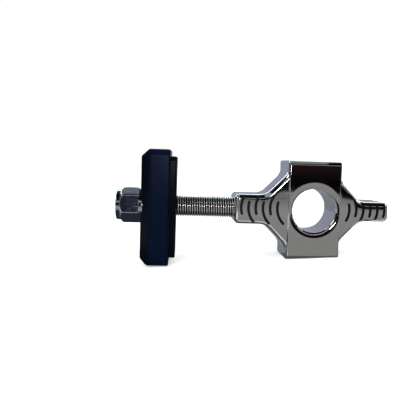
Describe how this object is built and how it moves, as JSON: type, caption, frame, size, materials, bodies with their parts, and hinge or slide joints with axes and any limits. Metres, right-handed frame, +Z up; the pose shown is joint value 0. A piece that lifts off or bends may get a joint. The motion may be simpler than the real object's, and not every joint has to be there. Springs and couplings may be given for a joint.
{
  "type": "chain adjuster",
  "caption": "Axle block with swept arms and index grooves, pulled along a threaded stud by a self-locking nut that bears on a bevelled end plate closing the swingarm tube",
  "frame": {"origin": "on the axis of the axle bore, midway through the block's thickness", "axes": "X runs along the stud, from the nut to the tail of the block; Y runs along the axle, away from the grooved front face; Z is up."},
  "size_m": [0.1208, 0.0254, 0.05],
  "materials": {
    "polished_block": "polished all over, the front faces mirror-bright, the bore wall satin",
    "stud_steel": "rolled thread, bright zinc",
    "plate_coat": "deep navy-black gloss with a bare brushed front panel",
    "nut_plating": "bright plating",
    "nylon": "pale nylon, slightly waxy"
  },
  "bodies": {
    "block": {"axle_block": "polished_block", "adjuster_stud": "stud_steel"},
    "plate": {"end_plate": "plate_coat"},
    "nut": {"lock_nut": "nut_plating", "nylon_insert": "nylon"}
  },
  "joints": [
    {"name": "plate_travel", "type": "slide", "parent": "block", "child": "plate", "axis": [1, 0, 0], "range_m": [-0.003, 0.025]},
    {"name": "nut_turn", "type": "hinge", "parent": "plate", "child": "nut", "pos_m": [-0.0807, 0, 0], "axis": [1, 0, 0], "range_deg": [-1021, 8505]}
  ],
  "couplings": [
    {"joint": "nut_turn", "follows": "plate_travel", "rad_per_m": 5936.9}
  ]
}
